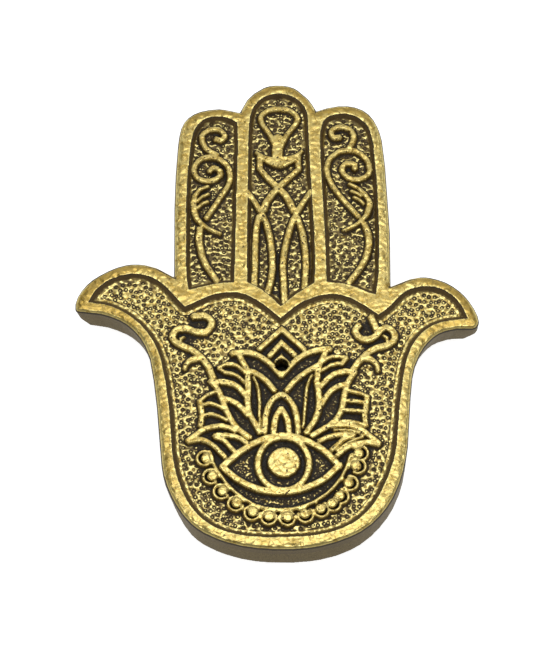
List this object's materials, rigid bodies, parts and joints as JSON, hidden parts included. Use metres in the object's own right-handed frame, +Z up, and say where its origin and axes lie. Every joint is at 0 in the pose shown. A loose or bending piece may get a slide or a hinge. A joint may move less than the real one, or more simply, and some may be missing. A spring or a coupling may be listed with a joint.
{
  "type": "hamsa incense holder",
  "caption": "Flat hand-shaped incense holder with a thumb on each side, carved in low relief with an eye, a lotus and scrolls; a blind hole holds the stick and pads keep it off the table.",
  "frame": {"origin": "centre of the outline's box, on the surface that the pads stand on", "axes": "+X across the palm, +Y from the wrist to the tip of the middle finger, +Z up through the carved face"},
  "size_m": [0.1022, 0.13, 0.0098],
  "materials": {
    "bronzed_resin": "cast polyresin, dark bronze base with gold dry-brushed on the raised surfaces",
    "foam_pad": "matt black foam rubber"
  },
  "bodies": {
    "root": {"hand_plate": "bronzed_resin", "foot_pad_left_finger": "foam_pad", "foot_pad_right_finger": "foam_pad", "foot_pad_left_palm": "foam_pad", "foot_pad_right_palm": "foam_pad"}
  },
  "joints": []
}
